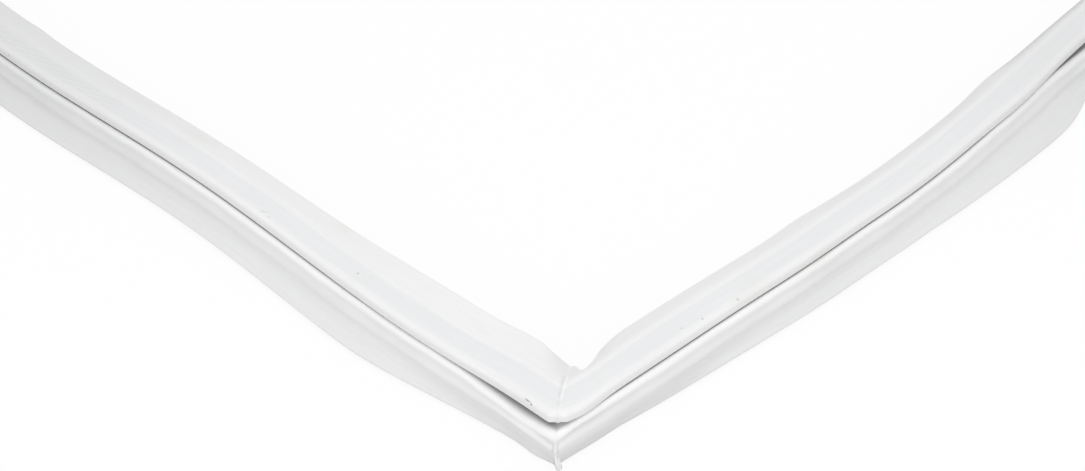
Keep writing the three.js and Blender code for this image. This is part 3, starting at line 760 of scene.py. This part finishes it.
def pvcMaterial():
    # zones of the section, then painted shade far along the legs, wear, marks, and last painted shade at the
    # silhouette and fold
    material, tree, shader = newMaterial("white_soft_pvc")
    pvc = whitePvc
    place, worn = useSurface(tree)
    fromWeld = attribute(tree, "fromWeld")
    run = times(tree, fromWeld, pvc["streakRuns"])
    across = times(tree, attribute(tree, "sectionRun"), pvc["streakAcross"])
    streakPlace = put(tree, "CombineXYZ", {"X": run, "Y": across}).outputs["Vector"]
    streak = noiseAt(tree, streakPlace, 1, pvc["streakDetail"])
    toLeft = times(tree, fromWeld, -1.0)
    # painted shade with some dirt in the creases, and painted shade in the ripples
    creased = times(tree, attribute(tree, "creaseShadeAndDirtZone"), pvc["creaseShare"])
    colour = pvc["skin"]
    for tint, share in (
        # foot is painted shade over the trough and the foot
        ("overMagnet", attribute(tree, "magnetZone")), ("foot", attribute(tree, "footShadeZone")),
        # painted highlight on the shoulder, the bead tops and the flash
        ("shoulder", attribute(tree, "paintedHighlightZone")),
        # painted shade far along both legs, where the light falls off
        ("farShade", ramp(tree, toLeft, pvc["farFrom"], pvc["farTo"], 0, pvc["farShare"])),
        ("farShade", ramp(tree, fromWeld, pvc["farFrom"], pvc["farTo"], 0, pvc["farShareRight"])),
        ("dust", times(tree, worn["Dust"], pvc["dustShare"])), ("crease", creased),
        ("speck", times(tree, worn["Specks"], pvc["speckShare"])),
    ):
        colour = blend(tree, colour, pvc[tint], share)
    for mark in marks.values():
        colour = addMark(tree, place, colour, mark)
    level = plus(tree, plus(tree, worn["Tone"], around(tree, streak, pvc["streakShare"])), 1)
    colour = put(tree, "HueSaturation", {"Color": colour, "Value": level}).outputs["Color"]
    # painted shade at grazing angles along the silhouette
    facing = put(tree, "LayerWeight", {"Blend": 0.5}).outputs["Facing"]
    silhouetteShade = ramp(tree, facing, pvc["silhouetteShadeFrom"], 1, 0, pvc["silhouetteShadeShare"])
    colour = blend(tree, colour, pvc["outline"], silhouetteShade)
    # painted shade in the fold under the head
    colour = blend(tree, colour, pvc["inFold"], attribute(tree, "foldShadeZone"))
    tree.links.new(colour, shader.inputs["Base Color"])
    rough = plus(tree, times(tree, worn["Dust"], pvc["dustyRoughness"]), worn["Tone"])
    tree.links.new(plus(tree, rough, pvc["roughness"]), shader.inputs["Roughness"])
    height = plus(tree, streak, times(tree, worn["Grain"], pvc["bumpGrain"]))
    addBump(tree, shader, height, pvc)
    return material


sealPiece.data.materials.append(pvcMaterial())

# magnetic strips: dull dark bonded ferrite with a cut grain and pale rub marks
ferrite = {
    "dark": (0.035, 0.031, 0.03, 1), "pale": (0.075, 0.069, 0.064, 1), "rub": (0.16, 0.15, 0.145, 1),
    "grainScale": 900, "grainDetail": 5, "grainFrom": 0.35, "grainTo": 0.65, "rubShare": 0.45, "toneShare": 6,
    "roughness": 0.62, "grainRoughness": 0.2, "bump": 0.3, "bumpHeight": 0.0002,
}


def ferriteMaterial():
    # dark to pale by the grain, rubbed paler where dust lies, with the handled tone made stronger
    material, tree, shader = newMaterial("dark_bonded_ferrite")
    place, worn = useSurface(tree)
    grain = noiseAt(tree, place, ferrite["grainScale"], ferrite["grainDetail"])
    cut = ramp(tree, grain, ferrite["grainFrom"], ferrite["grainTo"])
    colour = blend(tree, ferrite["dark"], ferrite["pale"], cut)
    colour = blend(tree, colour, ferrite["rub"], times(tree, worn["Dust"], ferrite["rubShare"]))
    level = plus(tree, times(tree, worn["Tone"], ferrite["toneShare"]), 1)
    colour = put(tree, "HueSaturation", {"Color": colour, "Value": level}).outputs["Color"]
    tree.links.new(colour, shader.inputs["Base Color"])
    rough = plus(tree, times(tree, grain, ferrite["grainRoughness"]), ferrite["roughness"])
    tree.links.new(rough, shader.inputs["Roughness"])
    addBump(tree, shader, grain, ferrite)
    return material


bonded = ferriteMaterial()
for name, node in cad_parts.items():
    if name.startswith("magnet_strip"):
        node.data.materials.clear()
        node.data.materials.append(bonded)
print("materials")

# studio: pale floor under an even white sky, with three weak softboxes over and in front of the corner
studio = {
    "floorSize": 6, "floorBelow": 0.0002, "floorBounce": 0.7, "floorWhite": 0.9, "worldStrength": 0.865,
    "lamps": {
        "overhead_softbox": {"from": (0.03, 0.05, 0.6), "size": 0.4, "power": 0.3},
        "front_softbox": {"from": (0.45, -0.45, 0.62), "size": 0.32, "power": 0.45},
        "low_softbox": {"from": (0.6, -0.6, 0.2), "size": 0.3, "power": 0.85},
    },
}
corner = ((halfFront + shift[0]) * mm, (-halfSide + shift[1]) * mm, seal["headUnder"] * mm)


def addFloor():
    # the floor bounces light as a pale surface, and the camera sees it as a mix of lit white and plain white
    half, low = studio["floorSize"] / 2, -studio["floorBelow"]
    mesh = bpy.data.meshes.new("studio_floor")
    corners = [(-half, -half, low), (half, -half, low), (half, half, low), (-half, half, low)]
    mesh.from_pydata(corners, [], [(0, 1, 2, 3)])
    floor = bpy.data.objects.new("studio_floor", mesh)
    scene.collection.objects.link(floor)
    material, tree, shader = newMaterial("pale_floor")
    shader.inputs["Base Color"].default_value = (studio["floorBounce"],) * 3 + (1,)
    shader.inputs["Roughness"].default_value = 1
    shader.inputs["Specular IOR Level"].default_value = 0
    lit = put(tree, "BsdfDiffuse", {"Color": (1, 1, 1, 1)}).outputs["BSDF"]
    plain = put(tree, "Emission", {}).outputs["Emission"]
    seen = put(tree, "MixShader", {"Fac": studio["floorWhite"], 1: lit, 2: plain}).outputs["Shader"]
    isSeen = put(tree, "LightPath", {}).outputs["Is Camera Ray"]
    either = put(tree, "MixShader", {"Fac": isSeen, 1: shader.outputs["BSDF"], 2: seen})
    tree.links.new(either.outputs["Shader"], tree.nodes["Material Output"].inputs["Surface"])
    floor.data.materials.append(material)


def addWorld():
    # the sky is plain white to the camera and to reflections, and lights the rest a little less
    world = bpy.data.worlds.new("studio_world")
    world.use_nodes = True
    tree = world.node_tree
    path = put(tree, "LightPath", {}).outputs
    either = compute(tree, "MAXIMUM", path["Is Camera Ray"], path["Is Glossy Ray"])
    level = put(tree, "MapRange", {"Value": either, "To Min": studio["worldStrength"], "To Max": 1})
    background = tree.nodes["Background"]
    background.inputs["Color"].default_value = (1, 1, 1, 1)
    tree.links.new(level.outputs["Result"], background.inputs["Strength"])
    scene.world = world


def addLamp(name, place, target, size, power):
    # a square softbox that points at the target and stays out of the picture
    lamp = bpy.data.lights.new(name, "AREA")
    lamp.shape = "SQUARE"
    lamp.size = size
    lamp.energy = power
    thing = bpy.data.objects.new(name, lamp)
    thing.location = place
    thing.rotation_euler = (Vector(target) - Vector(place)).to_track_quat("-Z", "Y").to_euler()
    thing.visible_camera = False
    scene.collection.objects.link(thing)


addFloor()
addWorld()
for name, lamp in studio["lamps"].items():
    addLamp(name, Vector(corner) + Vector(lamp["from"]), corner, lamp["size"], lamp["power"])
print("studio")

# camera: the picture's middle looks past the corner; the corner of the head lies at pixel (557.5, 428)
view = {
    "distance": 0.850, "azimuth": 45, "elevation": 42, "focal": 2305.6, "width": 1085, "height": 471,
    "cornerX": 557.5, "cornerY": 428, "sensor": 36, "clipStart": 0.01,
}


def addCamera():
    # stands off from the corner by azimuth and elevation, then turns so that the corner falls on its pixel
    toSide, up = math.radians(view["azimuth"]), math.radians(view["elevation"])
    place = Vector(corner) + view["distance"] * Vector(
        (math.cos(up) * math.sin(toSide), -math.cos(up) * math.cos(toSide), math.sin(up)))
    pitch = up - math.atan((view["cornerY"] - view["height"] / 2) / view["focal"])
    yaw = toSide + math.atan((view["cornerX"] - view["width"] / 2) / view["focal"] / math.cos(pitch))
    forward = Vector((-math.sin(yaw) * math.cos(pitch), math.cos(yaw) * math.cos(pitch), -math.sin(pitch)))
    data = bpy.data.cameras.new("studio_camera")
    data.sensor_width = view["sensor"]
    data.lens = view["focal"] / view["width"] * view["sensor"]
    data.clip_start = view["clipStart"]
    camera = bpy.data.objects.new("studio_camera", data)
    camera.location = place
    camera.rotation_euler = forward.to_track_quat("-Z", "Y").to_euler()
    scene.collection.objects.link(camera)
    scene.camera = camera


addCamera()
scene.view_settings.view_transform = "Standard"
bpy.context.view_layer.update()
